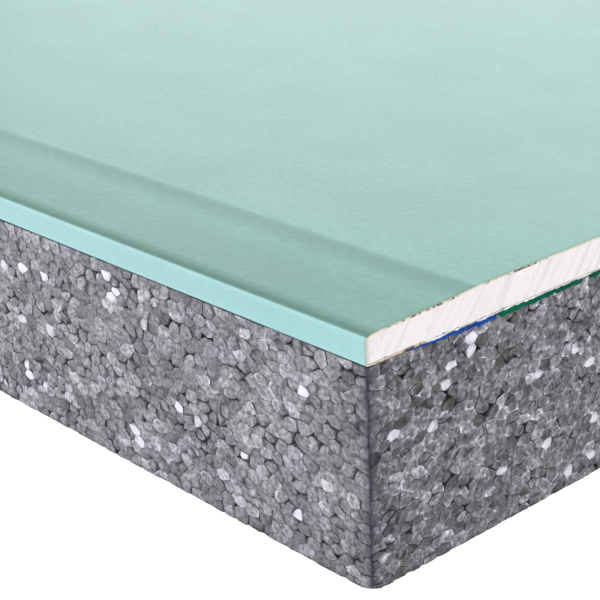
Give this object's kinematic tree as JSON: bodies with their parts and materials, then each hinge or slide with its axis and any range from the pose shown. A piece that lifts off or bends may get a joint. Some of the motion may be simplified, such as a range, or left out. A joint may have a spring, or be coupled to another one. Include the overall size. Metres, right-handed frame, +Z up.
{
  "type": "insulated plasterboard sheet",
  "caption": "Paper-faced plasterboard sheet with tapered long edges, bonded to a thick bead-foam board, for lining and insulating walls.",
  "frame": {"origin": "middle of the foam board's underside", "axes": "+X along the sheet's length, +Y across its width, +Z up through its thickness to the green face"},
  "size_m": [2.5, 1.2, 0.0925],
  "materials": {
    "bead_foam": "cut grey bead foam with a few white beads",
    "gypsum": "matte, sawn at the ends",
    "face_paper": "smooth green liner",
    "back_paper": "matte brown liner"
  },
  "bodies": {
    "root": {"insulation_board": "bead_foam", "gypsum_core": "gypsum", "face_paper": "face_paper", "back_paper": "back_paper"}
  },
  "joints": []
}
